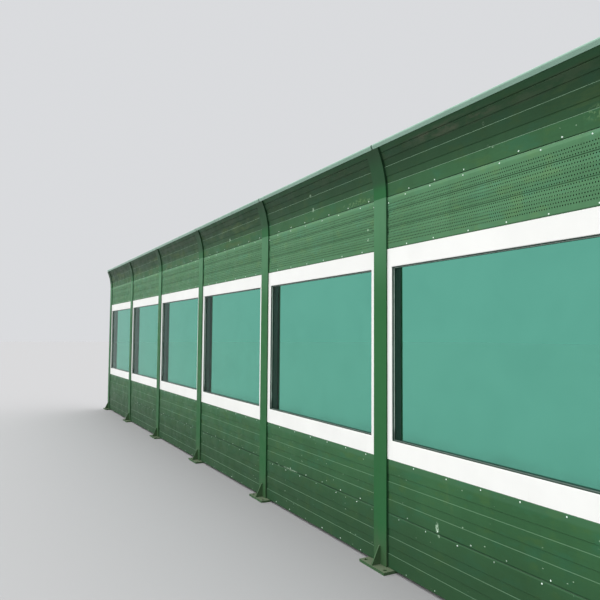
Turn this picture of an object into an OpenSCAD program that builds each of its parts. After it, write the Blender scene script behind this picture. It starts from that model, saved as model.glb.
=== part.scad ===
// Highway noise barrier: six bays of stacked cassette panels and windows
// between steel posts whose tops curve towards the road.
// +X runs along the wall, +Y points away from the road, +Z is up.
// The origin is under the middle post, on the underside of its base plate.

/* [Run of bays] */
// Distance between the centres of two posts
bay_pitch = 2000; // [1200:50:2600]

/* [Posts] */
// Width of the flanges, along the wall
post_w = 150; // [120:5:200]
// Depth of the section, from front face to rear face
post_d = 150; // [135:5:200]
// Thickness of the flanges
flange_t = 10; // [8:1:12]
// Thickness of the web
web_t = 7; // [6:1:12]
// How far the tip of a post stays below the ends of the curved panels
post_short = 10; // [9:1:25]

/* [Base plates] */
// Side of the square plate under each post
plate_w = 300; // [280:10:400]
// Thickness of the plate
plate_t = 20; // [12:1:30]
// Distance between anchor holes, both ways
anchor_pitch = 230; // [220:5:250]
// Diameter of the anchor holes
anchor_d = 26; // [18:1:30]
// Height of the stiffening gussets
gusset_h = 130; // [80:5:180]
// Reach of the gussets from the flange
gusset_w = 70; // [40:5:75]
// Thickness of the gussets
gusset_t = 10; // [6:1:16]

/* [Cassette panels] */
// Height of a flat cassette panel
panel_h = 375; // [300:5:500]
// Thickness of the panels and window frames
panel_t = 85; // [60:5:100]
// Height of the lowest edge of the channels above a panel's foot
channel_foot = 97; // [40:1:150]
// Width of each of the two shallow channels along a panel's face
channel_w = 53.5; // [30:0.5:70]
// Width of the ridge between the channels
ridge_w = 68.5; // [30:0.5:90]
// Depth of the channels, whose edges slope at 45 degrees
channel_depth = 5; // [2:0.5:8]
// Bevel on the long front edges
edge_bevel = 3; // [1:0.5:8]
// Clearance between a panel's face and the front flange
front_gap = 2; // [1:0.5:4]
// Clearance between a panel's end and the web
end_gap = 8; // [4:1:15]

/* [Perforated panel] */
// Height of the perforated panel, whose foot comes a little lower over the window
perforated_h = 380; // [375:1:500]

/* [Window units] */
// Height of a window unit
window_h = 1495; // [900:5:2000]
// Height of the top and bottom rails
rail_h = 133; // [80:1:180]
// Width of each side stile that shows beside the flange
stile_show = 50; // [30:2:100]
// Radius of the rounded inner front edge
inner_round = 4; // [2:0.5:5]
// Depth of the sheet behind the frame's face
sheet_set = 20; // [18:1:30]
// Thickness of the transparent sheet
sheet_t = 10; // [6:1:15]
// How far the sheet reaches into the frame
sheet_bite = 15; // [8:1:25]
// Thickness of the gasket on each face of the sheet
gasket_t = 3; // [2:0.5:5]
// Width of the gasket that shows round the sheet
gasket_show = 4; // [2:0.5:8]
// How far the gasket reaches from the sheet towards the frame's face
gasket_reach = 15; // [5:1:15]

/* [Curved top] */
// Radius of the front flange's face in the curved part
arc_r = 850; // [700:10:1400]
// Length of the curved panel, measured along its face
arc_len = 380; // [280:5:460]

/* [Cap] */
// Height of the cap above the curved panel's end
cap_h = 26; // [24:1:40]
// Radius of the cap's two rounded edges
cap_round = 12; // [6:1:12]
// Wall of the cap
cap_wall = 2; // [1:0.5:3]
// Length of the lips that overlap the panel's faces
cap_lip = 8; // [4:1:8]
// Clearance between a lip and the panel's face
lip_gap = 0.3; // [0.2:0.1:0.5]
// Gap between the caps of two bays
cap_joint = 4; // [2:1:10]

/* [Packing] */
// Width of the packing strips between the panels and the rear flange
packing_w = 30; // [15:1:40]
// Distance of the strips from the flange's edge
packing_in = 5; // [0:1:10]

/* [Hidden] */

bays = 6;
posts = bays + 1;
middle_post = 4;
eps = 0.01;
weld = 5;

// Depths, from the front flange's face
face_y = -post_d / 2;
panel_in = flange_t + front_gap;
panel_y = face_y + panel_in;
packing_t = post_d - 2 * flange_t - front_gap - panel_t;

// Lengths between the webs
panel_len = bay_pitch - web_t - 2 * end_gap;

// Heights of the stack, from the underside of the plates
lower_z = plate_t;
middle_z = lower_z + panel_h;
window_z = middle_z + panel_h;
perforated_z = window_z + window_h;
arc_z = perforated_z + perforated_h;

// The curved top turns about a line in front of the wall
arc_y = face_y - arc_r;
panel_r = arc_r + panel_in;
tip_angle = arc_len / panel_r * 180 / PI;
post_tip_angle = tip_angle - post_short / panel_r * 180 / PI;

// The window's opening in its frame
opening_x = bay_pitch / 2 - post_w / 2 - stile_show;
opening_z0 = window_z + rail_h;
opening_z1 = window_z + window_h - rail_h;
sheet_y = panel_y + sheet_set;

steel_green = [0.24, 0.49, 0.32];
panel_green = [0.25, 0.44, 0.29];
cap_green = [0.52, 0.66, 0.59];

function post_x(i) = (i - middle_post) * bay_pitch;
function bay_x(i) = (i - middle_post + 0.5) * bay_pitch;

// Carries an outline drawn in (y, z) along the wall, centred on x
module along_wall(x, length) {
  translate([x - length / 2, 0, 0])
    rotate([90, 0, 90])
      linear_extrude(length) children();
}

// Outline of a ring's sector about the curved top's turning line
module arc_band(r0, r1, a0, a1) {
  far = 2 * r1;
  translate([arc_y, arc_z])
    intersection() {
      difference() {
        circle(r1, $fn = 720);
        circle(r0, $fn = 720);
      }
      polygon([[0, 0], [far * cos(a0), far * sin(a0)], [far * cos(a1), far * sin(a1)]]);
    }
}

// Outline of a strip up the wall: straight below, curved above
module bent_strip(y0, y1, z0, tip) {
  translate([y0, z0]) square([y1 - y0, arc_z - z0]);
  arc_band(y0 - arc_y, y1 - arc_y, 0, tip);
}

module gusset_outline() {
  polygon([
    [post_d / 2 - weld, plate_t - weld],
    [post_d / 2 + gusset_w, plate_t - weld],
    [post_d / 2 + gusset_w, plate_t + gusset_t],
    [post_d / 2 + gusset_t, plate_t + gusset_h],
    [post_d / 2 - weld, plate_t + gusset_h]
  ]);
}

module post(i) {
  x = post_x(i);
  color(steel_green) {
    difference() {
      along_wall(x, post_w) bent_strip(face_y, -face_y, plate_t - weld, post_tip_angle);
      for (side = [-1, 1])
        along_wall(x + side * (web_t + post_w) / 2, post_w)
          bent_strip(face_y + flange_t, -face_y - flange_t, 0, post_tip_angle + 5);
    }
    along_wall(x, gusset_t) {
      gusset_outline();
      mirror([1, 0]) gusset_outline();
    }
    base_plate(x);
  }
}

module base_plate(x) {
  difference() {
    translate([x - plate_w / 2, -plate_w / 2, 0]) cube([plate_w, plate_w, plate_t]);
    for (sx = [-1, 1], sy = [-1, 1])
      translate([x + sx * anchor_pitch / 2, sy * anchor_pitch / 2, -1])
        cylinder(d = anchor_d, h = plate_t + 2, $fn = 48);
  }
}

// Lower edge of channel k, from where the foot of a plain panel would be
function channel_low(k) = channel_foot + k * (channel_w + ridge_w);

// Outline of a flat cassette of height h: bevelled edges and two shallow channels in front
module cassette_outline(z, h) {
  half = channel_depth / 2;
  low = [channel_low(0) + h - panel_h, channel_low(1) + h - panel_h];
  translate([panel_y, z])
    polygon(concat(
      [[panel_t, 0], [edge_bevel, 0], [0, edge_bevel]],
      [for (b = low) each [
        [0, b - half], [channel_depth, b + half],
        [channel_depth, b + channel_w - half], [0, b + channel_w + half]]],
      [[0, h - edge_bevel], [edge_bevel, h], [panel_t, h]]
    ));
}

module flat_panel(i, z, h) {
  color(panel_green) along_wall(bay_x(i), panel_len) cassette_outline(z, h);
}

// One channel of the curved cassette, cut from s0 to s1 along its face
module curved_channel(s0, s1) {
  deg = 180 / PI / panel_r;
  arc_band(panel_r - 1, panel_r + channel_depth, s0 * deg, s1 * deg);
  translate([arc_y, arc_z]) {
    rotate(s0 * deg) translate([panel_r, 0]) channel_side();
    rotate(s1 * deg) translate([panel_r, 0]) mirror([0, 1]) channel_side();
  }
}

// Sloping side of a channel, below its floor's first edge
module channel_side() {
  polygon([[channel_depth, eps], [channel_depth, 0], [-1, -channel_depth - 1], [-1, eps]]);
}

// Outline of the curved cassette, with the flat panels' channels wrapped round
module curved_outline() {
  half = channel_depth / 2;
  difference() {
    arc_band(panel_r, panel_r + panel_t, 0, tip_angle);
    for (k = [0, 1])
      curved_channel(channel_low(k) + half, channel_low(k) + channel_w - half);
    translate([arc_y + panel_r, arc_z])
      polygon([[edge_bevel, -1], [edge_bevel, 0], [-1, edge_bevel + 1], [-1, -1]]);
  }
}

module curved_panel(i) {
  color(panel_green) along_wall(bay_x(i), panel_len) curved_outline();
}

// Outline of the cap's crown: a low box with its two upper edges rounded
module crown(inset) {
  w = panel_t + 2 * (lip_gap + cap_wall);
  translate([-lip_gap - cap_wall, 0]) {
    for (n = [cap_round, w - cap_round])
      translate([n, cap_h - cap_round]) circle(cap_round - inset, $fn = 96);
    translate([inset, inset]) square([w - 2 * inset, cap_h - cap_round - inset]);
    translate([cap_round, inset]) square([w - 2 * cap_round, cap_h - 2 * inset]);
  }
}

module cap_outline() {
  translate([arc_y, arc_z])
    rotate(tip_angle)
      translate([panel_r, 0]) {
        difference() {
          crown(0);
          crown(cap_wall);
        }
        for (n = [-lip_gap - cap_wall, panel_t + lip_gap])
          translate([n, -cap_lip]) square([cap_wall, cap_lip + cap_wall]);
      }
}

module top_cap(i) {
  x0 = post_x(i) + (i == 1 ? -post_w / 2 : cap_joint / 2);
  x1 = post_x(i + 1) + (i == bays ? post_w / 2 : -cap_joint / 2);
  color(cap_green) along_wall((x0 + x1) / 2, x1 - x0) cap_outline();
}

// Block over the opening of bay i, grown on all four sides
module opening_block(i, y0, y1, grow) {
  translate([bay_x(i) - opening_x - grow, y0, opening_z0 - grow])
    cube([2 * (opening_x + grow), y1 - y0, opening_z1 - opening_z0 + 2 * grow]);
}

// Outline of what a rounded edge loses: a square less a quarter of a circle
module round_loss() {
  difference() {
    translate([-eps, -1]) square([inner_round + eps, inner_round + 1]);
    translate([inner_round, inner_round]) circle(inner_round, $fn = 96);
  }
}

// Losses along the rails, and along the stiles, in bay i
module rail_losses(i, grow) {
  along_wall(bay_x(i), 2 * (opening_x + grow)) {
    translate([panel_y, opening_z1]) rotate(90) mirror([0, 1]) round_loss();
    translate([panel_y, opening_z0]) rotate(-90) round_loss();
  }
}

module stile_losses(i, grow) {
  for (side = [0, 1])
    translate([bay_x(i), 0, opening_z0 - grow])
      mirror([side, 0, 0])
        translate([opening_x, panel_y, 0])
          linear_extrude(opening_z1 - opening_z0 + 2 * grow)
            round_loss();
}

module window_frame(i) {
  color("white")
    difference() {
      translate([bay_x(i) - panel_len / 2, panel_y, window_z])
        cube([panel_len, panel_t, window_h]);
      opening_block(i, panel_y - 1, panel_y + panel_t + 1, 0);
      opening_block(i, sheet_y - gasket_t, panel_y + panel_t + 1, sheet_bite);
      rail_losses(i, 0);
      stile_losses(i, 0);
      intersection() {
        rail_losses(i, inner_round);
        stile_losses(i, inner_round);
      }
    }
}

module window_sheets() {
  color([0.4, 0.75, 0.6, 0.5])
    for (i = [1 : bays])
      opening_block(i, sheet_y, sheet_y + sheet_t, sheet_bite - gasket_t);
}

module window_gaskets() {
  color([0.1, 0.1, 0.1])
    for (i = [1 : bays])
      difference() {
        union() {
          opening_block(i, sheet_y - gasket_t, sheet_y + sheet_t + gasket_t, sheet_bite);
          opening_block(i, sheet_y - gasket_reach, sheet_y, 0);
        }
        opening_block(i, sheet_y, sheet_y + sheet_t, sheet_bite - gasket_t);
        opening_block(i, sheet_y - gasket_reach - 1, sheet_y + sheet_t + gasket_t + 1, -gasket_show);
      }
}

module glazing_beads() {
  color([0.25, 0.27, 0.27])
    for (i = [1 : bays])
      difference() {
        opening_block(i, sheet_y + sheet_t + gasket_t, panel_y + panel_t, sheet_bite);
        opening_block(i, sheet_y + sheet_t + gasket_t - 1, panel_y + panel_t + 1, 0);
      }
}

module packing_strips() {
  y0 = panel_y + panel_t;
  color([0.15, 0.15, 0.15])
    for (i = [1 : posts], side = [-1, 1])
      if (post_x(i) + side * bay_pitch >= post_x(1) && post_x(i) + side * bay_pitch <= post_x(posts))
        along_wall(post_x(i) + side * (post_w / 2 - packing_in - packing_w / 2), packing_w)
          bent_strip(y0, y0 + packing_t, lower_z, post_tip_angle);
}

for (i = [1 : posts])
  post(i);
for (i = [1 : bays]) {
  flat_panel(i, lower_z, panel_h);
  flat_panel(i, middle_z, panel_h);
  window_frame(i);
  flat_panel(i, perforated_z, perforated_h);
  curved_panel(i);
  top_cap(i);
}
window_sheets();
window_gaskets();
glazing_beads();
packing_strips();
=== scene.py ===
"""Looks of a highway noise barrier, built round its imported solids.

The wall runs along X, its front looks towards -Y and Z is up. All sizes are in metres.
"""

import math

import bpy
import numpy as np
from mathutils import Matrix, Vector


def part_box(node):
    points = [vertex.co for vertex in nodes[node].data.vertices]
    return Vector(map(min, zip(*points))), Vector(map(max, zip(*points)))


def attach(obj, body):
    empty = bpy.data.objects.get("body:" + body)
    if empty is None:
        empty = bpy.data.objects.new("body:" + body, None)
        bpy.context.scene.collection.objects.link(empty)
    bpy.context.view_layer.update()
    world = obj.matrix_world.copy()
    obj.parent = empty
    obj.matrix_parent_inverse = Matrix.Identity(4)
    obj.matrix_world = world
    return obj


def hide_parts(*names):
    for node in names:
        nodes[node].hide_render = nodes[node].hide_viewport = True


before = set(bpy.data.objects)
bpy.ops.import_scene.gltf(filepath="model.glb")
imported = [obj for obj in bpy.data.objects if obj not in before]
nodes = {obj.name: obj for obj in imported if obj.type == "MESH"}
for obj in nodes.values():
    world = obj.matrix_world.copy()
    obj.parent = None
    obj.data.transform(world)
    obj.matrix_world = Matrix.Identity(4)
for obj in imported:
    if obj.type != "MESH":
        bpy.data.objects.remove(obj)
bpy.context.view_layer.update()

MM = 0.001
BAYS = 6
POSTS = BAYS + 1
BAY = 2000 * MM
POST_HALF = 75 * MM

# Sizes of the cassettes, as the solids have them. Only the channels differ: here they are 3 mm deep, in the
# solids 5 mm, and here their upper side is steeper.
CASSETTE_H = 375 * MM
PERFORATED_H = 380 * MM
CURVED_LEN = 380 * MM
CASSETTE_T = 85 * MM
CHANNEL_FOOT = 97 * MM
CHANNEL_W = 53.5 * MM
RIDGE_W = 68.5 * MM
CHANNEL_D = 3 * MM
EDGE_BEVEL = 3 * MM
FOLD_R = 1.5 * MM
CHANNEL_LOW = [CHANNEL_FOOT, CHANNEL_FOOT + CHANNEL_W + RIDGE_W]
# Half the height of a channel's lower side, which slopes, and of its upper side, which is steep
LEDGE_H = CHANNEL_D / 2
FOLD_H = 0.75 * MM

# Groove under the topmost band of the curved panels
GROOVE_S = 323.5 * MM
GROOVE_D = 4 * MM

# The curved top: its turning line, the radius of the panels' face, and the longest step of a bent section
PANEL_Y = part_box("perforated_panel_1")[0][1]
TURN_R = 862 * MM
TURN_Y = PANEL_Y - TURN_R
TURN_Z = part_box("perforated_panel_1")[1][2]
CURVE_STEP = 8 * MM

# Joint between the two lower rows of cassettes
JOINT_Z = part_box("middle_panel_1")[0][2]

# Perforation of the panels above the windows; the third set of rows starts above the upper channel
HOLE_PITCH = 16 * MM
HOLE_W = 6.6 * MM
HOLE_H = 10.4 * MM
ROW_PITCH = 20 * MM
HOLE_DEPTH = 4.5 * MM
END_MARGIN = 46 * MM
THIRD_SET = 9.5 * MM

# Window openings
RAIL_H = 133 * MM
OPENING_HALF = 875 * MM
GASKET_SHOW = 4 * MM
SHEET_SET = 20 * MM


# Meshes

def faces(*corners):
    """Polygons from an array of point indices for each of their corners."""
    return np.stack(corners, axis=-1).reshape(-1, len(corners))


def put_mesh(name, points, polygons, finish, normals=None, second=None, second_from=0):
    """A mesh object from an array of points and a list of index arrays, one for each number of corners.

    Its object sits at the origin. normals holds a direction for each polygon corner.
    Polygons from index second_from on take the second finish."""
    mesh = bpy.data.meshes.new(name)
    counts = np.concatenate([np.full(len(p), p.shape[1]) for p in polygons])
    corners = np.concatenate([p.ravel() for p in polygons]).astype(np.int32)
    mesh.vertices.add(len(points))
    mesh.vertices.foreach_set("co", np.asarray(points, np.float32).ravel())
    mesh.loops.add(len(corners))
    mesh.loops.foreach_set("vertex_index", corners)
    mesh.polygons.add(len(counts))
    starts = np.concatenate([[0], np.cumsum(counts)[:-1]]).astype(np.int32)
    mesh.polygons.foreach_set("loop_start", starts)
    mesh.update(calc_edges=True)
    mesh.materials.append(finish)
    if second is not None:
        mesh.materials.append(second)
        index = (np.arange(len(counts)) >= second_from).astype(np.int32)
        mesh.polygons.foreach_set("material_index", index)
    mesh.polygons.foreach_set("use_smooth", np.full(len(counts), normals is not None))
    if normals is not None:
        mesh.normals_split_custom_set(np.asarray(normals, float).tolist())
    mesh.validate()
    piece = bpy.data.objects.new(name, mesh)
    bpy.context.scene.collection.objects.link(piece)
    return piece


# Folded cassettes

def folded(corners, radius, steps=4):
    """Closed outline whose corners are bent to a radius, with the outward direction at each point.

    A corner that turns by t loses r * tan(t / 2) of both its sides. The arc between the two cuts has
    its centre a distance r to the inner side of the first cut. The outline runs clockwise, so the
    outward direction is the side's own direction turned left."""
    p = np.asarray(corners, float)
    before = p - np.roll(p, 1, axis=0)
    before /= np.linalg.norm(before, axis=1, keepdims=True)
    after = np.roll(before, -1, axis=0)
    cross = before[:, 0] * after[:, 1] - before[:, 1] * after[:, 0]
    turn = np.arctan2(cross, (before * after).sum(1))
    cut = radius * np.tan(np.abs(turn) / 2)
    left = np.stack([-before[:, 1], before[:, 0]], axis=1)
    side = np.sign(turn)[:, None] * radius
    centre = p - before * cut[:, None] + left * side
    angle = turn[:, None] * np.linspace(0, 1, steps + 1)
    c = np.cos(angle)[..., None]
    s = np.sin(angle)[..., None]
    out = left[:, None, :] * c - before[:, None, :] * s
    points = centre[:, None, :] - out * side[:, None, :]
    return points.reshape(-1, 2), out.reshape(-1, 2)


def filled_in(points, out, longest):
    """Adds points to a closed outline so that no step is longer than a given length.

    A side of length l gets n = l / longest parts, rounded up. Its points lie at i / n of it, i from 0."""
    ahead = np.roll(points, -1, axis=0)
    out_ahead = np.roll(out, -1, axis=0)
    parts = np.maximum(1, np.ceil(np.linalg.norm(ahead - points, axis=1) / longest)).astype(int)
    start = np.repeat(np.arange(len(points)), parts)
    share = np.concatenate([np.arange(n) / n for n in parts])[:, None]
    more_points = points[start] * (1 - share) + ahead[start] * share
    more_out = out[start] * (1 - share) + out_ahead[start] * share
    return more_points, more_out


def stand(points, out, z):
    """Face coordinates (depth, height) to (y, z) on a flat panel whose foot is at height z."""
    return points + [PANEL_Y, z], out


def wrap(points, out):
    """Face coordinates (depth n, length s) to (y, z) on the curved top.

    The angle is a = s / R, and the point lies at R + n from the turning line."""
    a = points[:, 1] / TURN_R
    radius = TURN_R + points[:, 0]
    c = np.cos(a)
    s = np.sin(a)
    place = np.stack([TURN_Y + radius * c, TURN_Z + radius * s], axis=1)
    turned = np.stack([out[:, 0] * c - out[:, 1] * s, out[:, 0] * s + out[:, 1] * c], axis=1)
    return place, turned


def along_wall(name, outline, out, x0, x1, finish):
    """A closed outline in (y, z) carried from x0 to x1, with both ends closed."""
    k = len(outline)
    ends = np.repeat([x0, x1], k)[:, None]
    points = np.hstack([ends, np.vstack([outline, outline])])
    here = np.arange(k)
    ahead = np.roll(here, -1)
    sides = faces(here, here + k, ahead + k, ahead)
    first = here[None, :]
    last = (here + k)[::-1][None, :]
    flat = np.hstack([np.zeros((k, 1)), out])
    side_normals = flat[sides % k].reshape(-1, 3)
    end_normals = np.repeat([[-1.0, 0, 0], [1.0, 0, 0]], k, axis=0)
    return put_mesh(name, points, [sides, first, last], finish, np.vstack([side_normals, end_normals]))


def cassette_corners(height, groove=None):
    """Corners of a cassette's section in (depth, height): bevelled edges, two channels and a groove."""
    face = []
    for low in CHANNEL_LOW:
        face += [
            (0, low - LEDGE_H),
            (CHANNEL_D, low + LEDGE_H),
            (CHANNEL_D, low + CHANNEL_W - FOLD_H),
            (0, low + CHANNEL_W + FOLD_H),
        ]
    if groove:
        face += [(0, groove - GROOVE_D), (GROOVE_D, groove), (0, groove + GROOVE_D)]
    return (
        [(CASSETTE_T, 0), (EDGE_BEVEL, 0), (0, EDGE_BEVEL)]
        + face
        + [(0, height - EDGE_BEVEL), (EDGE_BEVEL, height), (CASSETTE_T, height)]
    )


def cassette(node, curved, finish):
    """A folded sheet cassette that stands for the plain solid of the same node."""
    low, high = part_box(node)
    if curved:
        points, out = folded(cassette_corners(CURVED_LEN, GROOVE_S), FOLD_R)
        outline, out = wrap(*filled_in(points, out, CURVE_STEP))
    else:
        points, out = folded(cassette_corners(CASSETTE_H), FOLD_R)
        outline, out = stand(points, out, low[2])
    piece = along_wall(node + "_sheet", outline, out, low[0], high[0], finish)
    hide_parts(node)
    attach(piece, "root")


# Perforated cassettes

def channel_depth(height):
    """Depth of the folded face at a height: 0 on the proud bands, CHANNEL_D on the channels' floors."""
    levels = [0.0]
    depths = [0.0]
    for low in CHANNEL_LOW:
        levels += [low - LEDGE_H, low + LEDGE_H, low + CHANNEL_W - FOLD_H, low + CHANNEL_W + FOLD_H]
        depths += [0.0, CHANNEL_D, CHANNEL_D, 0.0]
    return np.interp(height, levels + [CASSETTE_H], depths + [0.0])


def hole_outline():
    """Eight points round an oval hole, (w / 2 * cos t, h / 2 * sin t), from the right towards the top.

    Those at t = asin(a ledge's height / h) lie on the ledge's edges where a row sits on a ledge."""
    tilt = math.asin(2 * LEDGE_H / HOLE_H)
    up = math.pi / 2
    t = np.array([0, tilt, up, 2 * up - tilt, 2 * up, 2 * up + tilt, 3 * up, -tilt])
    return HOLE_W / 2 * np.cos(t)[None, :], HOLE_H / 2 * np.sin(t)[None, :]


class PerforatedSheet:
    """The points and polygons of a panel as one closed shell whose face has rows of blind oval holes.

    Heights count from where a plain panel has its foot. The face lies on a lattice of half pitches, and
    each hole has a cell one pitch wide. The rows come in threes, and the middle row of each three lies
    half a pitch to the side of the other two."""

    def __init__(self, length):
        self.cells = int((length - 2 * END_MARGIN) / HOLE_PITCH)
        half = self.cells * HOLE_PITCH / 2
        lattice = np.linspace(-half, half, 2 * self.cells + 1)
        self.x = np.concatenate([[-length / 2], lattice, [length / 2]])
        self.points = []
        self.count = 0
        self.quads = []
        self.fives = []
        self.walls = []
        self.floors = []
        self.face_and_back()

    def add(self, x, depth, height):
        """Adds points and gives back the index of each."""
        x, depth, height = np.broadcast_arrays(x, depth, height)
        index = np.arange(self.count, self.count + x.size).reshape(x.shape)
        self.points.append(np.stack([x, depth, height], axis=-1).reshape(-1, 3))
        self.count += x.size
        return index

    def line(self, height):
        """A line of points along the face at a height."""
        return self.add(self.x, channel_depth(height), height)

    def plain_strip(self, lower, upper):
        """Closes the face between two lines of points and gives back the upper one."""
        self.quads.append(faces(lower[:-1], lower[1:], upper[1:], upper[:-1]))
        return upper

    def row_of_holes(self, border, height, shift):
        """A row of holes between a line of points and a new one above it, which it gives back.

        shift is 1 for a row whose first cell starts half a pitch in, and 0 for the row beside it."""
        top = self.line(height + ROW_PITCH / 2)
        last = 2 * self.cells
        left = np.arange(1 + shift, last - shift, 2)
        middle = left + 1
        right = left + 2
        # three points on each border between two cells, at the ledge's lower end, middle and upper end
        borders = np.unique(np.concatenate([[0, 1, last + 1, last + 2], left, right]))
        low, mid, high = np.full((3, len(self.x)), -1)
        for wall, z in zip((low, mid, high), (height - LEDGE_H, height, height + LEDGE_H)):
            wall[borders] = self.add(self.x[borders], channel_depth(z), z)
        # plain stretches at both ends of the row
        plain = np.array([0, last + 1, 1, last] if shift else [0, last + 1])
        stack = [border, low, mid, high, top]
        for under, over in zip(stack[:-1], stack[1:]):
            self.quads.append(faces(under[plain], under[plain + 1], over[plain + 1], over[plain]))
        # a ring round each hole, joined to its cell
        hole_x, hole_z = hole_outline()
        ring_z = height + hole_z
        depth = channel_depth(ring_z)
        ring = self.add(self.x[middle][:, None] + hole_x, depth, ring_z)
        inner = self.add(self.x[middle][:, None] + hole_x, depth + HOLE_DEPTH, ring_z)
        r = ring.T
        self.fives += [
            faces(top[middle], top[left], high[left], r[3], r[2]),
            faces(top[right], top[middle], r[2], r[1], high[right]),
            faces(border[left], border[middle], r[6], r[5], low[left]),
            faces(border[middle], border[right], low[right], r[7], r[6]),
        ]
        self.quads += [
            faces(high[left], mid[left], r[4], r[3]),
            faces(mid[left], low[left], r[5], r[4]),
            faces(mid[right], high[right], r[1], r[0]),
            faces(low[right], mid[right], r[0], r[7]),
        ]
        self.walls.append(faces(ring, np.roll(ring, -1, axis=1), np.roll(inner, -1, axis=1), inner))
        self.floors.append(inner)
        return top

    def face_and_back(self):
        """The face from its foot to its top, then the shell round the top edge, down the back and under."""
        foot_z = CASSETTE_H - PERFORATED_H
        lower, upper = CHANNEL_LOW
        round_channel = np.arange(-3, 3) * ROW_PITCH
        over_channel = THIRD_SET + np.arange(3) * ROW_PITCH
        sets = [lower + round_channel, upper + round_channel, upper + CHANNEL_W + over_channel]
        folds = [[low + CHANNEL_W - FOLD_H, low + CHANNEL_W + FOLD_H] for low in CHANNEL_LOW]
        strips = [[sets[0][0] - ROW_PITCH / 2], *folds]
        foot = self.line(foot_z + EDGE_BEVEL)
        border = foot
        for heights, below in zip(sets, strips):
            for height in below:
                border = self.plain_strip(border, self.line(height))
            for row, height in enumerate(heights):
                border = self.row_of_holes(border, height, shift=1 - row % 3 % 2)
        border = self.plain_strip(border, self.line(CASSETTE_H - EDGE_BEVEL))
        for depth, height in (
            (EDGE_BEVEL, CASSETTE_H),
            (CASSETTE_T, CASSETTE_H),
            (CASSETTE_T, foot_z),
            (EDGE_BEVEL, foot_z),
        ):
            border = self.plain_strip(border, self.add(self.x, depth, height))
        self.plain_strip(border, foot)


def end_outline(points, x):
    """Indices of the points at one end of a perforated panel, in order round its section."""
    index = np.nonzero(np.abs(points[:, 0] - x) < 1e-7)[0]
    depth = points[index, 1] - CASSETTE_T / 2
    height = points[index, 2] - CASSETTE_H / 2
    # A ray from inside meets the section once, as the channels are shallow
    return index[np.argsort(np.arctan2(height, depth))]


def perforated_cassettes(finish, inside):
    """The perforated panels of all bays: one shell, moved along the wall."""
    low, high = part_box("perforated_panel_1")
    length = high[0] - low[0]
    sheet = PerforatedSheet(length)
    points = np.concatenate(sheet.points)
    left_end = end_outline(points, -length / 2)[::-1][None, :]
    right_end = end_outline(points, length / 2)[None, :]
    painted = [np.concatenate(sheet.quads), np.concatenate(sheet.fives), left_end, right_end]
    # the holes' walls and floors take the dark second finish: fleece on the floors, painted shade on the
    # walls
    dark = [np.concatenate(sheet.walls), np.concatenate(sheet.floors)]
    count = sum(len(p) for p in painted)
    for bay in range(1, BAYS + 1):
        node = "perforated_panel_%d" % bay
        low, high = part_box(node)
        moved = points + [(low[0] + high[0]) / 2, PANEL_Y, high[2] - CASSETTE_H]
        piece = put_mesh(node + "_sheet", moved, painted + dark, finish, second=inside, second_from=count)
        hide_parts(node)
        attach(piece, "root")


# Rivets

RIVET_SIDES = 10
# Head of a blind rivet, as (radius, height) from its rim to the dimple in the middle, in mm
RIVET_OUTLINE = [(4.6, -0.5), (4.8, 0.5), (4.0, 1.3), (2.4, 1.7), (1.3, 1.5), (0.9, 0.7)]
# The screws near both ends of a perforated panel: distance from its end, and from its top
SCREW_IN = 80 * MM
SCREW_DOWN = 44 * MM


def rivet_heads(centres, outward, name, finish):
    """Closed rivet heads: the outline turned about the outward direction at each centre."""
    outline = np.array(RIVET_OUTLINE) * MM
    angle = np.arange(RIVET_SIDES) * 2 * math.pi / RIVET_SIDES
    across = np.tile([1.0, 0, 0], (len(centres), 1))
    up = np.cross(outward, across)
    ring = across[:, None] * np.cos(angle)[None, :, None] + up[:, None] * np.sin(angle)[None, :, None]
    points = (
        centres[:, None, None]
        + ring[:, None] * outline[None, :, None, 0:1]
        + outward[:, None, None] * outline[None, :, None, 1:2]
    )
    index = np.arange(points[..., 0].size).reshape(len(centres), len(outline), RIVET_SIDES)
    ahead = np.roll(index, -1, axis=2)
    quads = faces(index[:, :-1], ahead[:, :-1], ahead[:, 1:], index[:, 1:])
    caps = np.concatenate([index[:, 0, ::-1], index[:, -1]])
    piece = put_mesh(name, points.reshape(-1, 3), [quads, caps], finish)
    piece.data.polygons.foreach_set("use_smooth", np.arange(len(piece.data.polygons)) < len(quads))
    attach(piece, "root")


def face_point(x, height):
    """A point on the face of the stack, and its outward direction.

    Above the turning line it follows the curve, at the angle a = (height - turning line) / R."""
    if height <= TURN_Z:
        return (x, PANEL_Y, height), (0, -1, 0)
    a = (height - TURN_Z) / TURN_R
    return (
        (x, TURN_Y + TURN_R * math.cos(a), TURN_Z + TURN_R * math.sin(a)),
        (0, -math.cos(a), -math.sin(a)),
    )


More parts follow.
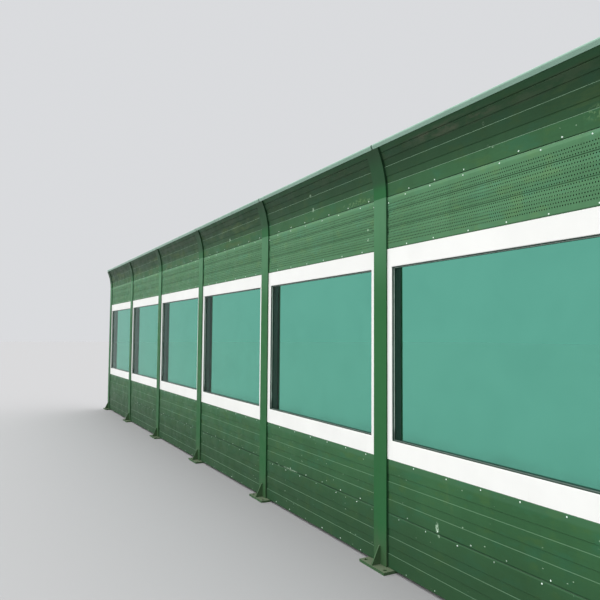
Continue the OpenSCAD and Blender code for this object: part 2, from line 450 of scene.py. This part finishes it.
def rivets(finish):
    """Rows of six rivets along the cassettes' long edges and two screws in each bay, as if set by hand.

    A row is shifted along the wall from bay to bay, and each rivet lies a little off its place in it."""
    hand = np.random.default_rng(11)
    window_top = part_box("perforated_panel_1")[0][2]
    window_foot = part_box("window_frame_1")[0][2]
    wall_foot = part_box("lower_panel_1")[0][2]
    # Height of each row, and places along the wall from the middle of the bay, in mm
    rows = [
        (TURN_Z + 15 * MM, [-680, -420, -152, 270, 563, 855]),
        (TURN_Z - 17 * MM, [-710, -450, -152, 139, 418, 727]),
        (window_top + 15 * MM, [-700, -425, -115, 187, 476, 765]),
        (window_foot - 16 * MM, [-640, -330, -40, 253, 538, 820]),
        (JOINT_Z + 17 * MM, [-700, -410, -120, 158, 443, 730]),
        (JOINT_Z - 17 * MM, [-800, -510, -235, 56, 382, 670]),
        (wall_foot + 16 * MM, [-725, -435, -145, 145, 435, 725]),
    ]
    for bay in range(1, BAYS + 1):
        low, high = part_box("lower_panel_%d" % bay)
        middle = (low[0] + high[0]) / 2
        heads = []
        for height, places in rows:
            # in the nearest bay the rows keep the places given above
            drift = hand.uniform(-25, 25) if bay < BAYS else 0.0
            for x in places:
                place = middle + (x + drift + hand.uniform(-9, 9)) * MM
                heads.append(face_point(place, height + hand.uniform(-2, 2) * MM))
        for end in (low[0] + SCREW_IN, high[0] - SCREW_IN):
            heads.append(face_point(end, TURN_Z - SCREW_DOWN))
        heads = np.array(heads)
        rivet_heads(heads[:, 0], heads[:, 1], "rivets_bay_%d" % bay, finish)


# Sealing strips

# Section, as (reach over the sheet, height above it) from the gasket's inner edge, in mm
SEAL_SECTION = [(-0.5, 0.05), (4.5, 0.05), (4.3, 1.4), (3.4, 2.9), (2.0, 3.9), (0.4, 4.3), (-0.5, 4.3)]


def seals(finish):
    """A strip of sealant round the front of each window.

    The section is swept along the opening's four sides and mitred at the corners: each of its points
    lies its reach inside the corner, both along the wall and in height."""
    section = np.array(SEAL_SECTION) * MM
    reach = section[None, :, 0]
    sides = np.array([[-1, -1], [1, -1], [1, 1], [-1, 1]])
    half_x = OPENING_HALF - GASKET_SHOW
    for bay in range(1, BAYS + 1):
        low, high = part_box("window_frame_%d" % bay)
        middle = (low[0] + high[0]) / 2
        foot_z = low[2] + RAIL_H + GASKET_SHOW
        top_z = high[2] - RAIL_H - GASKET_SHOW
        corner = np.where(sides[:, 1] < 0, foot_z, top_z)
        x = middle + sides[:, 0:1] * (half_x - reach)
        z = corner[:, None] - sides[:, 1:2] * reach
        y = np.broadcast_to(PANEL_Y + SHEET_SET - section[None, :, 1], x.shape)
        points = np.stack([x, y, z], axis=-1).reshape(-1, 3)
        index = np.arange(x.size).reshape(x.shape)
        along = np.roll(index, -1, axis=0)
        quads = faces(index, np.roll(index, -1, axis=1), np.roll(along, -1, axis=1), along)
        piece = put_mesh("seal_%d" % bay, points, [quads], finish)
        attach(piece, "root")


# Finishes

def tone(red, green, blue):
    """A colour written as 0 to 255 display values, as the linear values that shaders take.

    Each value v / 255 = c becomes c / 12.92 below 0.04045 and ((c + 0.055) / 1.055) ** 2.4 above."""
    c = np.array([red, green, blue]) / 255
    linear = np.where(c <= 0.04045, c / 12.92, ((c + 0.055) / 1.055) ** 2.4)
    return (*linear.tolist(), 1.0)


def shifted(colour, red, green, blue):
    """A tone a little off another one."""
    return tone(colour[0] + red, colour[1] + green, colour[2] + blue)


class Nodes:
    """Adds shader nodes to a tree. Its calls give back output sockets, and take sockets or plain values."""

    def __init__(self, tree):
        self.tree = tree

    def set(self, socket, value):
        """Links a socket or sets a value."""
        if isinstance(value, bpy.types.NodeSocket):
            self.tree.links.new(value, socket)
        else:
            socket.default_value = value

    def node(self, kind, values, **settings):
        """A node of that kind with its settings, and values for its inputs by name or number."""
        made = self.tree.nodes.new(kind)
        for key, value in settings.items():
            setattr(made, key, value)
        for key, value in values.items():
            self.set(made.inputs[key], value)
        return made

    def maths(self, operation, a, b=0.0):
        """One operation on two values, or on the first alone."""
        return self.node("ShaderNodeMath", {0: a, 1: b}, operation=operation).outputs[0]

    def product(self, first, *others):
        """The values multiplied, from left to right."""
        for value in others:
            first = self.maths("MULTIPLY", first, value)
        return first

    def greatest(self, first, *others):
        """The greatest of the values."""
        for value in others:
            first = self.maths("MAXIMUM", first, value)
        return first

    def blend(self, share, a, b):
        """Colour a where the share is 0, colour b where it is 1."""
        return self.node("ShaderNodeMixRGB", {"Fac": share, "Color1": a, "Color2": b}).outputs[0]

    def seen_directly(self):
        """1 for rays from the camera or sent on by a glossy or clear surface, 0 for light that spreads."""
        path = self.node("ShaderNodeLightPath", {}).outputs
        return self.greatest(path["Is Camera Ray"], path["Is Glossy Ray"], path["Is Transmission Ray"])


class Finish(Nodes):
    """A node-based finish. Colours are laid over each other in paint, and done() hands it to the shader."""

    def __init__(self, name, roughness, **fixed):
        self.material = bpy.data.materials.new(name)
        self.material.use_nodes = True
        super().__init__(self.material.node_tree)
        self.shader = self.tree.nodes["Principled BSDF"]
        self.shader.inputs["Roughness"].default_value = roughness
        for socket, value in fixed.items():
            self.shader.inputs[socket.replace("_", " ")].default_value = value
        self.place = self.node("ShaderNodeTexCoord", {}).outputs["Object"]
        self.paint = None

    def over(self, colour, *shares):
        """Lays a colour over the paint so far, as strongly as the product of the shares."""
        self.paint = self.blend(self.product(*shares), self.paint, colour)

    def rough(self, value):
        """Roughness that varies over the surface."""
        self.set(self.shader.inputs["Roughness"], value)

    def relief(self, height, distance):
        """Bump whose full height is a distance in metres."""
        bump = self.node("ShaderNodeBump", {"Height": height, "Distance": distance})
        self.set(self.shader.inputs["Normal"], bump.outputs[0])

    def done(self):
        """Gives the paint to the shader and hands over the material."""
        self.set(self.shader.inputs["Base Color"], self.paint)
        return self.material

    def stretched(self, scale):
        """Object coordinates scaled along each axis."""
        return self.node("ShaderNodeMapping", {"Vector": self.place, "Scale": scale}).outputs[0]

    def noise(self, size, detail=3.0, roughness=0.55, stretch=(1, 1, 1), distortion=0.0):
        """Noise with lumps about as large as size, in metres, from 0 to 1."""
        values = {
            "Vector": self.stretched(tuple(s / size for s in stretch)),
            "Scale": 1.0,
            "Detail": detail,
            "Roughness": roughness,
            "Distortion": distortion,
        }
        return self.node("ShaderNodeTexNoise", values).outputs["Fac"]

    def specks(self, size, share, reach, stretch=(1, 1, 1)):
        """Small irregular dots, one in some cells of a grid: 1 inside a dot and 0 outside.

        share is the part of the cells that hold one, and reach its radius in cells. The radius varies
        from cell to cell, and a finer noise makes the rims uneven."""
        finer = self.stretched(tuple(3.1 * s / size for s in stretch))
        wobble = self.node("ShaderNodeTexNoise", {"Vector": finer, "Scale": 1.0, "Detail": 2.0})
        grid = self.stretched(tuple(s / size for s in stretch))
        moved = {"Fac": 0.24, "Color1": grid, "Color2": wobble.outputs["Color"]}
        uneven = self.node("ShaderNodeMixRGB", moved, blend_type="ADD").outputs[0]
        cells = self.node("ShaderNodeTexVoronoi", {"Vector": uneven, "Scale": 1.0}).outputs
        chance = self.node("ShaderNodeSeparateColor", {"Color": cells["Color"]}).outputs
        picked = self.ramp(chance[0], 1 - share, 1 - share + 0.001)
        radius = self.product(reach, self.maths("ADD", chance[1], 0.35))
        return self.product(picked, self.maths("LESS_THAN", cells["Distance"], radius))

    def ramp(self, value, start, end, low=0.0, high=1.0):
        """A smooth step from low to high as value goes from start to end."""
        values = {"Value": value, "From Min": start, "From Max": end, "To Min": low, "To Max": high}
        return self.node("ShaderNodeMapRange", values, interpolation_type="SMOOTHSTEP").outputs["Result"]

    def band(self, value, start, end, soft):
        """1 where value lies between start and end, with soft borders."""
        return self.product(self.ramp(value, start - soft, start), self.ramp(value, end + soft, end))

    def profile(self, value, stops):
        """Levels read off along value: the stops are (value, level), with straight runs between them."""
        start = stops[0][0]
        length = stops[-1][0] - start
        span = {"Value": value, "From Min": start, "From Max": start + length}
        share = self.node("ShaderNodeMapRange", span).outputs["Result"]
        made = self.node("ShaderNodeValToRGB", {"Fac": share})
        elements = made.color_ramp.elements
        for i, (at, level) in enumerate(stops):
            place = (at - start) / length
            element = elements[i] if i < 2 else elements.new(place)
            element.position = place
            element.color = (level, level, level, 1)
        return made.outputs["Color"]

    def wavy(self, value, most, size, detail=3.0):
        """A value that noise of a size raises by up to most."""
        return self.maths("ADD", value, self.product(self.noise(size, detail), most))

    def axis(self, name):
        """One of the object coordinates."""
        return self.node("ShaderNodeSeparateXYZ", {"Vector": self.place}).outputs[name]

    def from_post(self):
        """Distance along the wall from the middle of the nearest post. One stands at x = 0."""
        return self.maths("PINGPONG", self.axis("X"), BAY / 2)

    def oval(self, x, z, wide, tall):
        """1 in the middle of an oval spot on the face of the wall, 0 outside it, with a soft edge.

        The step is taken over the length of ((X - x) / wide, (Z - z) / tall)."""
        spot = {
            "Vector": self.place,
            "Scale": (1 / wide, 0, 1 / tall),
            "Location": (-x / wide, 0, -z / tall),
        }
        offset = self.node("ShaderNodeMapping", spot).outputs[0]
        away = self.node("ShaderNodeVectorMath", {0: offset}, operation="LENGTH").outputs["Value"]
        return self.ramp(away, 1.0, 0.5)

    def looks_along(self, axis):
        """How far the surface looks along an axis, from -1 to 1."""
        normal = self.node("ShaderNodeNewGeometry", {}).outputs["Normal"]
        return self.node("ShaderNodeSeparateXYZ", {"Vector": normal}).outputs[axis]

    def facing_up(self, start, end):
        """1 where the surface looks up, 0 where it is upright or looks down."""
        return self.ramp(self.looks_along("Z"), start, end)

    def facing_front(self):
        """1 where the surface looks to the front, 0 on the back of the wall."""
        return self.ramp(self.looks_along("Y"), 0.3, -0.1)

    def side_face(self):
        """1 where the surface looks along the wall, 0 elsewhere."""
        return self.ramp(self.maths("ABSOLUTE", self.looks_along("X")), 0.5, 0.8)


# Droppings and smears on the sheets: place along the wall, height above the turning line, half width,
# half height, strength
MARKS = [
    (4.592, -2.209, 0.019, 0.040, 0.8),
    (4.607, -2.259, 0.012, 0.012, 0.7),
    (2.978, 0.229, 0.022, 0.016, 0.45),
    (2.990, 0.103, 0.018, 0.024, 0.6),
    (2.981, 0.025, 0.014, 0.012, 0.45),
    (3.831, -0.202, 0.012, 0.013, 0.7),
    (3.831, -0.279, 0.013, 0.013, 0.9),
    (5.048, 0.238, 0.011, 0.013, 0.22),
    (5.053, 0.113, 0.007, 0.009, 0.45),
    (5.066, 0.097, 0.007, 0.006, 0.4),
    (5.096, 0.089, 0.011, 0.006, 0.55),
    (5.547, 0.064, 0.004, 0.007, 0.4),
    (5.640, 0.050, 0.005, 0.005, 0.4),
    (1.005, 0.105, 0.024, 0.026, 0.8),
    (2.580, -2.245, 0.180, 0.010, 0.6),
    (2.340, -2.250, 0.020, 0.012, 0.4),
]

# Strips between the folds of the perforated panels: height over a plain panel's foot in mm, and shade
STRIPS = [
    (0, 0.17),
    (95, 0.17),
    (99, 0.06),
    (149, 0.05),
    (152, 0.20),
    (217, 0.20),
    (221, 0.0),
    (271, 0.0),
    (274, 0.10),
    (340, 0.12),
    (352, 0.03),
    (380, 0.02),
]

# Pale paint rubbed along an edge below a joint, and the same tone as a painted highlight below the
# perforated panels' top edge
PALE_WEAR_AND_HIGHLIGHT = tone(122, 172, 132)


class SheetPaint(Finish):
    """Satin paint on folded sheet, with the layers of dirt, wear and marks that lie on it, and painted
    shade and highlights.
    """

    def __init__(self, name):
        super().__init__(name, roughness=0.5, Specular_IOR_Level=0.15)
        self.z = self.axis("Z")
        self.rise = self.maths("SUBTRACT", self.z, TURN_Z)
        self.front = self.facing_front()

    def coat(self, base, light, dark):
        """The paint itself, in an uneven tone."""
        uneven = self.ramp(self.noise(0.55, 4.0, 0.6), 0.3, 0.7)
        self.paint = self.blend(uneven, tone(*dark), tone(*light))
        self.over(tone(*base), 0.5)
        # patches that lean to yellow and to blue, and fine streaks along the sheet from rolling and wiping
        warm = self.ramp(self.noise(0.11, 4.0, 0.6, stretch=(0.8, 1, 1.2)), 0.52, 0.68)
        self.over(shifted(base, 13, 5, -6), warm, 0.5)
        cool = self.ramp(self.noise(0.13, 4.0, 0.6, stretch=(0.7, 1, 1.3)), 0.52, 0.68)
        self.over(shifted(base, -4, 6, 13), cool, 0.5)
        wiped = self.ramp(self.noise(0.012, 4.0, 0.65, stretch=(0.12, 1, 1)), 0.45, 0.75)
        self.over(shifted(base, -12, -20, -12), wiped, 0.22)
        streaks = self.ramp(self.noise(0.05, 4.0, 0.6, stretch=(1, 1, 0.09)), 0.52, 0.75)
        self.over(tone(38, 66, 42), streaks, 0.12)

    def foot_and_frame_tones(self):
        """Darker towards the foot, and paler right under the window frame."""
        darker_low = self.ramp(self.wavy(self.z, 0.12, 0.3), 0.85, 0.20)
        self.over(tone(40, 66, 43), darker_low, 0.62)
        under_frame = self.band(self.z, 0.738, 0.80, 0.02)
        self.over(tone(84, 130, 100), under_frame, 0.22)

    def overhang_shade_and_grime(self):
        """Painted shade on the front of the overhang, which looks down, then grime, wear and stains where
        rain doesn't reach. Each band holds its own share of the shade.
        """
        # painted shade on the front of the overhang, deeper on each higher band
        under = self.ramp(self.rise, 0.094, 0.100, 0.0, 0.38)
        for start, end, more in ((0.148, 0.153, 0.10), (0.214, 0.219, 0.06), (0.12, 0.34, 0.08)):
            under = self.maths("ADD", under, self.ramp(self.rise, start, end, 0.0, more))
        self.over(tone(22, 32, 24), under, self.front)
        # the topmost bands have worn to a brownish mottle
        here_and_there = self.ramp(self.noise(0.9, 2.0), 0.42, 0.62, 0.1, 0.45)
        worn = self.product(self.band(self.rise, 0.27, 0.316, 0.02), here_and_there)
        worn = self.greatest(worn, self.oval(4.78, TURN_Z + 0.304, 0.56, 0.050))
        mottle = self.ramp(self.noise(0.09, 5.0, 0.72, stretch=(0.6, 1, 2.0)), 0.38, 0.64)
        self.over(tone(90, 93, 77), worn, self.product(mottle, self.front), 0.50)
        # olive stains towards both ends of the wall
        olive = self.ramp(self.noise(0.22, 4.0, 0.65, stretch=(0.6, 1, 2.2)), 0.48, 0.66)
        along = self.axis("X")
        stained = self.greatest(self.ramp(along, 1.96, 1.90), self.ramp(along, 5.2, 5.5, 0.0, 0.6))
        lower_bands = self.band(self.rise, 0.03, 0.25, 0.03)
        self.over(tone(80, 102, 54), olive, self.front, stained, lower_bands, 0.42)
        greener = self.ramp(self.rise, 0.316, 0.335)
        self.over(tone(52, 104, 70), greener, self.front, 0.16)
        drips = self.ramp(self.noise(0.16, 5.0, 0.7, stretch=(1, 1, 0.35)), 0.60, 0.78)
        self.over(tone(104, 122, 70), drips, 0.22)

    def ledge_dust_and_highlight(self):
        """Dust and a painted highlight from the sky on whatever looks up, stronger on the overhang, which
        keeps the rain off.
        """
        # dust and painted highlight together: faint low down, strong on the overhang
        dust_and_highlight = self.product(self.ramp(self.rise, -0.02, -0.01, 0.26, 0.86), self.ramp(self.rise, 0.30, 0.28))
        dust_and_highlight = self.product(dust_and_highlight, self.ramp(self.noise(0.45, 3.0), 0.35, 0.65, 0.86, 1.04))
        self.over(tone(132, 164, 138), self.facing_up(0.28, 0.5), dust_and_highlight)

    def joint_dirt_and_post_shade(self):
        """Dark lines of dirt along two joints, painted shade on the sheet beside each post, and a pale,
        rubbed edge below one joint.
        """
        rubbed = self.band(self.z, JOINT_Z - 9 * MM, JOINT_Z - 5 * MM, 2 * MM)
        self.over(PALE_WEAR_AND_HIGHLIGHT, rubbed, self.front, 0.12)
        for start, end, soft in (
            (JOINT_Z - 2 * MM, JOINT_Z + 7 * MM, 2 * MM),
            (TURN_Z + 0.5 * MM, TURN_Z + 4.5 * MM, MM),
        ):
            gathered = self.ramp(self.noise(0.8, 2.0), 0.35, 0.6, 0.45, 0.9)
            self.over(tone(18, 56, 30), self.band(self.z, start, end, soft), gathered)
        # painted shade on the sheet beside each post's flange
        corner = self.ramp(self.from_post(), POST_HALF + 16 * MM, POST_HALF + 8 * MM)
        self.over(tone(20, 48, 30), corner, 0.7)

    def strip_shades(self):
        """On a perforated panel, a shade for each strip, a painted highlight below the top edge and painted
        shade under the folds that look down.
        """
        foot = TURN_Z - CASSETTE_H
        shades = [(foot + mm * MM, level) for mm, level in STRIPS]
        self.over(tone(36, 80, 46), self.profile(self.z, shades), self.front)
        # painted highlight just below the top edge
        top_edge_highlight = self.band(self.rise, -0.019, -0.006, 0.003)
        self.over(PALE_WEAR_AND_HIGHLIGHT, top_edge_highlight, self.front, 0.25)
        # painted shade under the folds that look down: along the foot and over each channel
        folds = [(foot, 0.4), (foot + 2.5 * MM, 0.4), (foot + 4 * MM, 0.0)]
        for low in CHANNEL_LOW:
            fold = foot + low + CHANNEL_W
            folds += [(fold - 2.6 * MM, 0.0), (fold - 2 * MM, 0.8), (fold, 0.8), (fold + 0.5 * MM, 0.0)]
        folds.append((TURN_Z, 0.0))
        self.over(tone(22, 44, 28), self.profile(self.z, folds), self.front)

    def marks(self):
        """Flecks of pale paint low down, and droppings that ran down the wall in a few places."""
        clusters = self.ramp(self.noise(0.30, 2.0, 0.5), 0.42, 0.54)
        flecks = self.greatest(
            self.specks(0.027, 0.14, 0.14, stretch=(0.75, 1, 1.2)),
            self.specks(0.022, 0.07, 0.13, stretch=(0.40, 1, 1.5)),
        )
        bright = self.ramp(self.noise(0.06, 2.0), 0.35, 0.65, 0.4, 1.0)
        flecks = self.product(flecks, self.ramp(self.z, 0.80, 0.70), bright, clusters)
        few = self.product(self.specks(0.085, 0.05, 0.04), self.ramp(self.z, 2.4, 2.6))
        spots = [
            self.product(self.oval(x, TURN_Z + above, wide, tall), strength)
            for x, above, wide, tall, strength in MARKS
        ]
        ragged = self.ramp(self.noise(0.010, 3.0, 0.6, stretch=(1, 1, 0.7)), 0.42, 0.52)
        shown = self.product(ragged, self.front)
        self.over(tone(178, 208, 180), self.greatest(flecks, few, *spots), shown)
        # fine spatter in two patches under the overhang
        splashed = self.greatest(
            self.oval(3.68, TURN_Z + 0.035, 0.26, 0.030),
            self.oval(5.83, TURN_Z + 0.080, 0.17, 0.055),
        )
        spatter = self.ramp(self.noise(0.020, 3.0, 0.6), 0.52, 0.60)
        self.over(tone(122, 160, 112), splashed, spatter, self.front, 0.40)


def sheet_paint(name, base, light, dark, perforated=False):
    """The finished paint of a kind of cassette, from its tone and the lightest and darkest of it."""
    f = SheetPaint(name)
    f.coat(base, light, dark)
    f.foot_and_frame_tones()
    f.overhang_shade_and_grime()
    f.ledge_dust_and_highlight()
    f.joint_dirt_and_post_shade()
    if perforated:
        f.strip_shades()
    f.marks()
    f.rough(f.ramp(f.noise(0.12, 4.0), 0.3, 0.7, 0.44, 0.58))
    grain = f.product(f.noise(0.0035, 2.0), 0.05)
    f.relief(f.maths("ADD", f.noise(0.35, 1.0, stretch=(1, 1, 1.6)), grain), 0.0035)
    return f.done()


def post_finish():
    """Satin paint on thick steel: brighter up high, darker low down with dust thrown up, a duller coat on
    the curved top with painted shade there, and painted shade on the flanges' edges.
    """
    f = Finish("post_paint", roughness=0.46, Specular_IOR_Level=0.15)
    z = f.axis("Z")
    f.paint = f.blend(f.ramp(z, 1.85, 2.55), tone(41, 106, 56), tone(84, 138, 98))
    f.over(tone(40, 92, 54), f.ramp(z, 1.35, 0.6), 0.5)
    cloud = f.ramp(f.noise(0.35, 4.0, 0.6, stretch=(1, 1, 0.5)), 0.35, 0.7)
    f.over(tone(52, 104, 66), cloud, 0.25)
    # a duller coat from the turning line up, with painted shade deepening towards the tip
    curved = f.ramp(z, TURN_Z - 2 * MM, TURN_Z + 2 * MM)
    curved_coat_and_shade = f.blend(f.ramp(z, TURN_Z + 0.05, TURN_Z + 0.13), tone(30, 99, 50), tone(35, 76, 45))
    curved_coat_and_shade = f.blend(f.ramp(z, TURN_Z + 0.20, TURN_Z + 0.34), curved_coat_and_shade, tone(38, 64, 42))
    f.over(curved_coat_and_shade, curved, 0.92)
    streaks = f.ramp(f.noise(0.03, 4.0, 0.6, stretch=(1, 1, 0.05)), 0.55, 0.75)
    f.over(tone(50, 82, 56), streaks, 0.2)
    # painted shade on the flanges' edges, which look along the wall
    f.over(tone(14, 42, 22), f.side_face(), 0.5)
    f.over(tone(128, 136, 116), f.facing_up(0.3, 0.8), 0.6)
    thrown_up = f.ramp(f.wavy(z, 0.3, 0.12), 0.55, 0.1)
    f.over(tone(88, 92, 74), thrown_up, 0.4)
    f.over(tone(120, 82, 58), f.specks(0.06, 0.08, 0.07), f.ramp(z, 1.0, 0.5))
    f.rough(f.ramp(f.noise(0.1, 3.0), 0.3, 0.7, 0.42, 0.54))
    f.relief(f.noise(0.004, 2.0), 0.0002)
    return f.done()


def cap_finish():
    """Gloss paint on the rounded caps: pale, with a painted sky reflection on top, and dirt that gathers at
    the joints.
    """
    f = Finish("cap_paint", roughness=0.38, Specular_IOR_Level=0.4)
    f.paint = f.blend(f.ramp(f.noise(0.4, 4.0), 0.3, 0.7), tone(138, 175, 156), tone(150, 186, 168))
    # painted reflection of the sky on the faces that look up
    f.over(tone(150, 178, 164), f.facing_up(0.3, 0.9), 0.3)
    grime = f.ramp(f.noise(0.05, 5.0, 0.65, stretch=(1, 1, 0.6)), 0.55, 0.8)
    f.over(tone(96, 120, 102), grime, 0.18)
    gathered = f.ramp(f.wavy(f.from_post(), 8 * MM, 0.02), 14 * MM, 9 * MM)
    f.over(tone(34, 66, 46), gathered, 0.9)
    f.rough(f.ramp(f.noise(0.08, 3.0), 0.3, 0.7, 0.24, 0.42))
    f.relief(f.noise(0.25, 2.0), 0.001)
    return f.done()


def frame_finish():
    """White powder coat: fine texture, faint rain marks under the sill and dust on ledges."""
    f = Finish("frame_white", roughness=0.42, Specular_IOR_Level=0.4)
    f.paint = f.blend(f.ramp(f.noise(0.5, 4.0), 0.3, 0.7), tone(242, 243, 240), tone(248, 249, 246))
    rain_marks = f.ramp(f.noise(0.025, 5.0, 0.65, stretch=(1, 1, 0.12)), 0.55, 0.78)
    f.over(tone(176, 182, 168), rain_marks, f.ramp(f.axis("Z"), 0.98, 0.80, 0.1, 0.5), 0.12)
    f.over(tone(206, 206, 196), f.facing_up(0.3, 0.9), 0.4)
    f.rough(f.ramp(f.noise(0.06, 3.0), 0.3, 0.7, 0.38, 0.5))
    f.relief(f.noise(0.0016, 2.0), 0.00008)
    return f.done()


def tinted_glass():
    """Clear green acrylic sheet with a thin film of dust that gathers at its foot."""
    f = Finish("tinted_sheet", roughness=0.02, IOR=1.11, Transmission_Weight=1.0, Specular_IOR_Level=0.2)
    haze = f.ramp(f.noise(0.45, 5.0, 0.65, distortion=0.4), 0.35, 0.75)
    f.paint = f.blend(f.product(haze, 0.5), tone(112, 195, 171), tone(104, 185, 162))
    foot = f.ramp(f.wavy(f.axis("Z"), 0.12, 0.2, 4.0), 1.06, 0.93)
    f.over(tone(84, 136, 118), foot, 0.35)
    f.rough(f.ramp(f.noise(0.3, 4.0), 0.5, 0.9, 0.015, 0.09))
    return f.done()


def sealant_finish():
    """Pale grey sealant, dirtier in places and dark along the window's foot."""
    f = Finish("sealant", roughness=0.5)
    f.paint = f.blend(f.ramp(f.noise(0.05, 4.0), 0.4, 0.7), tone(170, 190, 179), tone(150, 168, 158))
    f.over(tone(66, 82, 74), f.ramp(f.axis("Z"), 1.02, 0.95, 0.0, 0.85))
    f.relief(f.noise(0.006, 2.0), 0.0002)
    return f.done()


def rubber_finish(name, shade, roughness):
    """Dull rubber with a little bloom."""
    f = Finish(name, roughness=roughness, Specular_IOR_Level=0.05)
    bloom = f.ramp(f.noise(0.08, 4.0), 0.35, 0.75)
    f.paint = f.blend(bloom, tone(*shade), shifted(shade, 14, 14, 14))
    f.relief(f.noise(0.003, 2.0), 0.00015)
    return f.done()


def bead_finish():
    """Dark grey coated aluminium."""
    f = Finish("bead_grey", roughness=0.45)
    f.paint = f.blend(f.noise(0.2, 4.0), tone(66, 61, 57), tone(75, 70, 65))
    f.relief(f.noise(0.002, 2.0), 0.00008)
    return f.done()


def fleece_finish():
    """Dark green fleece over mineral wool on the holes' floors, also on their walls as painted shade of the
    cavity behind the sheet, pale with dust where they are clogged.
    """
    f = Finish("fleece_and_hole_shade", roughness=0.95)
    f.paint = f.blend(f.noise(0.0025, 4.0), tone(10, 21, 14), tone(26, 45, 30))
    f.over(tone(72, 104, 78), f.ramp(f.noise(0.022, 2.0, 0.5), 0.50, 0.72), 0.6)
    return f.done()


def rivet_finish():
    """Pale mill aluminium with a light oxide, dirty in places low down."""
    f = Finish("rivet_metal", roughness=0.45)
    f.paint = f.blend(f.noise(0.004, 3.0), tone(230, 254, 238), tone(244, 255, 249))
    low = f.ramp(f.axis("Z"), 0.7, 0.5)
    f.over(tone(96, 132, 104), low, f.ramp(f.noise(0.5, 2.0), 0.40, 0.58, 0.0, 0.75))
    return f.done()


def numbered(prefix, count):
    """Names of the nodes that come once for each bay or post."""
    return ["%s_%d" % (prefix, i) for i in range(1, count + 1)]


def dress(names, finish):
    """Gives a finish to solids that are shown as they are."""
    for name in names:
        mesh = nodes[name].data
        mesh.materials.clear()
        mesh.materials.append(finish)


cassette_paint = sheet_paint("panel_paint", (55, 101, 63), (61, 109, 70), (49, 92, 57))
perforated_paint = sheet_paint(
    "perforated_paint", (88, 138, 98), (94, 145, 104), (81, 129, 90), perforated=True
)
fleece_and_hole_shade = fleece_finish()
rivet_metal = rivet_finish()
sealant = sealant_finish()

dress(numbered("post", POSTS), post_finish())
dress(numbered("window_frame", BAYS), frame_finish())
dress(numbered("top_cap", BAYS), cap_finish())
dress(["window_sheets"], tinted_glass())
dress(["window_gaskets"], rubber_finish("gasket", (54, 72, 64), 0.6))
dress(["glazing_beads"], bead_finish())
dress(["packing_strips"], rubber_finish("packing", (34, 35, 34), 0.75))

for bay in range(1, BAYS + 1):
    cassette("lower_panel_%d" % bay, False, cassette_paint)
    cassette("middle_panel_%d" % bay, False, cassette_paint)
    cassette("curved_panel_%d" % bay, True, cassette_paint)
perforated_cassettes(perforated_paint, fleece_and_hole_shade)
rivets(rivet_metal)
seals(sealant)


# Floor, light and camera

FLOOR_HALF = 120.0
# The floor's colour for light that spreads, its colour where it is seen, and the backdrop, as linear values
FLOOR_BOUNCE = (0.20, 0.20, 0.20, 1.0)
FLOOR_SEEN = (0.322, 0.322, 0.327, 1.0)
BACKDROP = (0.70, 0.71, 0.73, 1.0)
# Strength of the light from straight above
OVERHEAD = 2.8

# Camera: place, and turns in degrees from a level view along -X, turned towards the wall, raised and rolled
CAMERA_AT = (7.5731, -2.6618, 1.6400)
CAMERA_TURN = 28.3077
CAMERA_RAISE = 3.3517
CAMERA_ROLL = 0.4249
# Its lens: width of the picture and focal length in mm, and how far it sees in metres
PICTURE_W = 36
FOCAL = 36
SIGHT = 500


def floor():
    """A plain pale floor, which throws little light back up."""
    s = FLOOR_HALF
    points = np.array([[-s, -s, 0], [s, -s, 0], [s, s, 0], [-s, s, 0]])
    f = Finish("floor", roughness=0.9, Specular_IOR_Level=0.0)
    f.paint = f.blend(f.seen_directly(), FLOOR_BOUNCE, FLOOR_SEEN)
    piece = put_mesh("floor", points, [np.array([[0, 1, 2, 3]])], f.done())


def studio_light():
    """Soft light from above, strongest overhead, and a plain pale backdrop where the camera looks.

    The light's strength is OVERHEAD * (1 + 2 * h) / 3 for the height h of a direction, from 0 at the
    horizon to 1. Below the horizon it stays at a third of OVERHEAD, and the floor hides it."""
    world = bpy.data.worlds.new("studio")
    bpy.context.scene.world = world
    world.use_nodes = True
    n = Nodes(world.node_tree)
    direction = n.node("ShaderNodeTexCoord", {}).outputs["Generated"]
    height = n.node("ShaderNodeSeparateXYZ", {"Vector": direction}).outputs["Z"]
    bright = n.node("ShaderNodeMapRange", {"Value": height, "To Min": OVERHEAD / 3, "To Max": OVERHEAD})
    colour = n.blend(n.seen_directly(), bright.outputs["Result"], BACKDROP)
    n.set(n.tree.nodes["Background"].inputs["Color"], colour)


def camera():
    """A camera at the photograph's place. Its focal length equals the picture's width."""
    turn, tilt, roll = np.radians([CAMERA_TURN, CAMERA_RAISE, CAMERA_ROLL])
    ahead = np.array([-math.cos(turn) * math.cos(tilt), math.sin(turn) * math.cos(tilt), math.sin(tilt)])
    level = np.array([math.sin(turn), math.cos(turn), 0.0])
    rise = np.cross(level, ahead)
    right = level * math.cos(roll) + rise * math.sin(roll)
    up = rise * math.cos(roll) - level * math.sin(roll)
    lens = bpy.data.cameras.new("camera")
    lens.sensor_width = PICTURE_W
    lens.lens = FOCAL
    lens.clip_end = SIGHT
    eye = bpy.data.objects.new("camera", lens)
    matrix = np.eye(4)
    matrix[:3, 0] = right
    matrix[:3, 1] = up
    matrix[:3, 2] = -ahead
    matrix[:3, 3] = CAMERA_AT
    eye.matrix_world = Matrix(matrix.tolist())
    bpy.context.scene.collection.objects.link(eye)
    bpy.context.scene.camera = eye


floor()
studio_light()
camera()
bpy.context.scene.view_settings.view_transform = "Standard"
